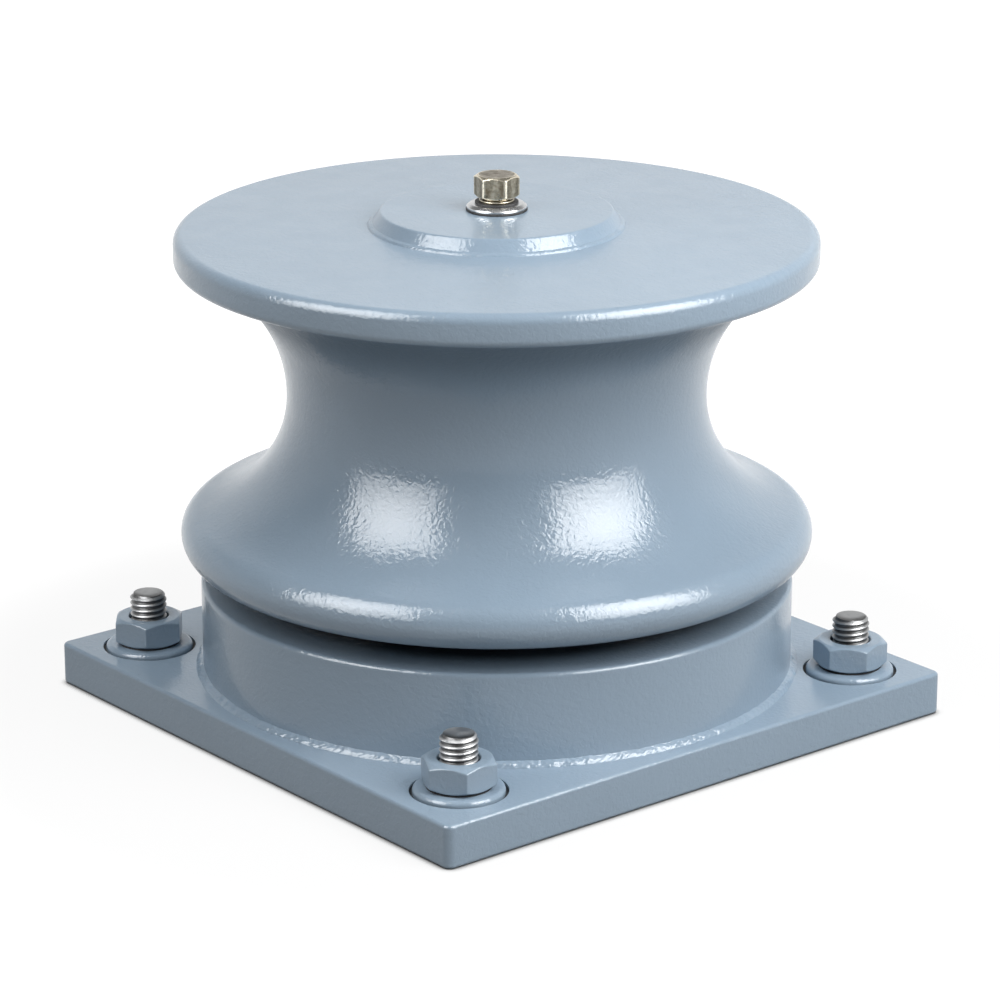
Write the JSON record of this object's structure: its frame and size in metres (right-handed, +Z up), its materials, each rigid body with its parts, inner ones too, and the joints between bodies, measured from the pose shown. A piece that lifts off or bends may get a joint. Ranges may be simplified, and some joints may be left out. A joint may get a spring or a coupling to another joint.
{
  "type": "roller fairlead",
  "caption": "Pedestal roller fairlead: a cast hourglass rope roller turning on a fixed upright pin above a welded ring and a square bolted base plate.",
  "frame": {"origin": "centre of the base plate's underside", "axes": "+Z up the roller's pin; +X and +Y along the base plate's sides"},
  "size_m": [0.45, 0.45, 0.3869],
  "materials": {
    "paint": "glossy light steel-grey marine paint with slight orange peel",
    "stud_steel": "bare threaded steel, slightly weathered",
    "machined_steel": "turned and ground steel, greased",
    "bush_bronze": "turned bronze",
    "seal_rubber": "matt black rubber",
    "washer_steel": "bright plated steel",
    "plug_metal": "dull nickel-brown brass, worn bright on its edges"
  },
  "bodies": {
    "base": {"base_plate": "paint", "pedestal_ring": "paint", "pedestal_weld": "paint", "pedestal_deck": "paint", "deck_weld": "paint", "roller_pin": "machined_steel", "pin_weld": "paint", "thrust_ring": "machined_steel", "keeper_plate": "machined_steel", "keeper_screw_1": "machined_steel", "keeper_screw_2": "machined_steel", "keeper_screw_3": "machined_steel", "keeper_screw_4": "machined_steel", "anchor_stud_1": "stud_steel", "anchor_stud_2": "stud_steel", "anchor_stud_3": "stud_steel", "anchor_stud_4": "stud_steel", "anchor_washer_1": "paint", "anchor_washer_2": "paint", "anchor_washer_3": "paint", "anchor_washer_4": "paint", "anchor_nut_1": "paint", "anchor_nut_2": "paint", "anchor_nut_3": "paint", "anchor_nut_4": "paint"},
    "roller": {"roller_drum": "paint", "hub_sleeve": "machined_steel", "lower_bush": "bush_bronze", "upper_bush": "bush_bronze", "bottom_web": "paint", "web_weld": "paint", "dust_seal": "seal_rubber", "hub_cover": "paint", "cover_weld": "paint", "plug_seal": "seal_rubber", "plug_washer": "washer_steel", "plug_gasket": "seal_rubber", "grease_plug": "plug_metal"}
  },
  "joints": [
    {"name": "roller_spin", "type": "hinge", "parent": "base", "child": "roller", "pos_m": [0, 0, 0.2], "axis": [0, 0, 1], "continuous": true}
  ]
}
